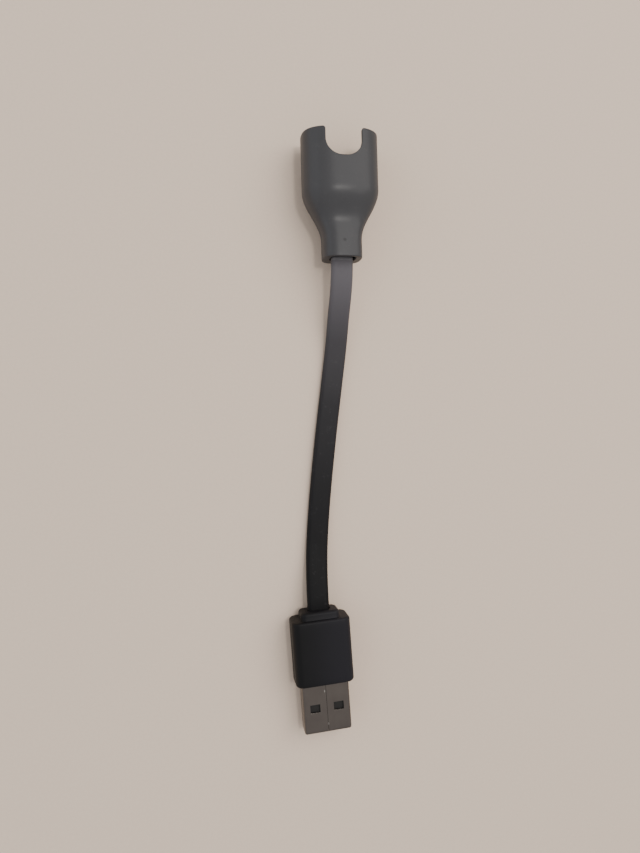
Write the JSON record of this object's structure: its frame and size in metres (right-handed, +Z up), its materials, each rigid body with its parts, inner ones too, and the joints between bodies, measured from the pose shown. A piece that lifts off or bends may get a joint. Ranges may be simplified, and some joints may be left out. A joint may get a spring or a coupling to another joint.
{
  "type": "tracker charging lead",
  "caption": "Short charging lead for a wrist tracker: a clip-in cradle with thumb notches and sprung contact pins, a flat cable and a USB plug.",
  "frame": {"origin": "on the surface that the lead lies on, below the middle of the cradle (the cable and plug left out)", "axes": "+Y along the cradle's axis out of its mouth, away from the cable; +Z up through the cradle's front, where the smaller thumb notch is; +X to the right seen from the front"},
  "size_m": [0.0249, 0.1489, 0.0129],
  "materials": {
    "soft_plastic": "soft-touch, dead matt",
    "carrier_plastic": "fine matt",
    "gold_plate": "polished gold plating",
    "spring_steel": "drawn wire",
    "board": "satin lacquer",
    "solder": "bright tin",
    "filling": "plain moulded",
    "cable_rubber": "satin extruded",
    "red_core": "smooth",
    "black_core": "smooth",
    "plug_rubber": "fine matt moulded",
    "nickel_plate": "satin nickel plating",
    "insulator": "smooth moulded"
  },
  "bodies": {
    "lead": {"cradle_shell": "soft_plastic", "contact_carrier": "carrier_plastic", "pin_board": "board", "neck_filling": "filling", "cable_jacket": "cable_rubber", "positive_core": "red_core", "ground_core": "black_core", "plug_overmould": "plug_rubber", "plug_inner_mould": "filling", "plug_shell": "nickel_plate", "plug_insulator": "insulator", "cable_crimp": "nickel_plate", "plug_solder_power": "solder", "plug_solder_ground": "solder", "pin_barrel_left": "gold_plate", "pin_spring_left": "spring_steel", "board_solder_left": "solder", "pin_barrel_right": "gold_plate", "pin_spring_right": "spring_steel", "board_solder_right": "solder", "contact_ground": "gold_plate", "contact_data_plus": "gold_plate", "contact_data_minus": "gold_plate", "contact_power": "gold_plate"},
    "left_pin": {"pin_plunger_left": "gold_plate"},
    "right_pin": {"pin_plunger_right": "gold_plate"}
  },
  "joints": [
    {"name": "left_pin_press", "type": "slide", "parent": "lead", "child": "left_pin", "axis": [0, -1, 0], "range_m": [0, 0.001], "stiffness_N_per_m": 500, "deforming": ["pin_spring_left"]},
    {"name": "right_pin_press", "type": "slide", "parent": "lead", "child": "right_pin", "axis": [0, -1, 0], "range_m": [0, 0.001], "stiffness_N_per_m": 500, "deforming": ["pin_spring_right"]}
  ]
}
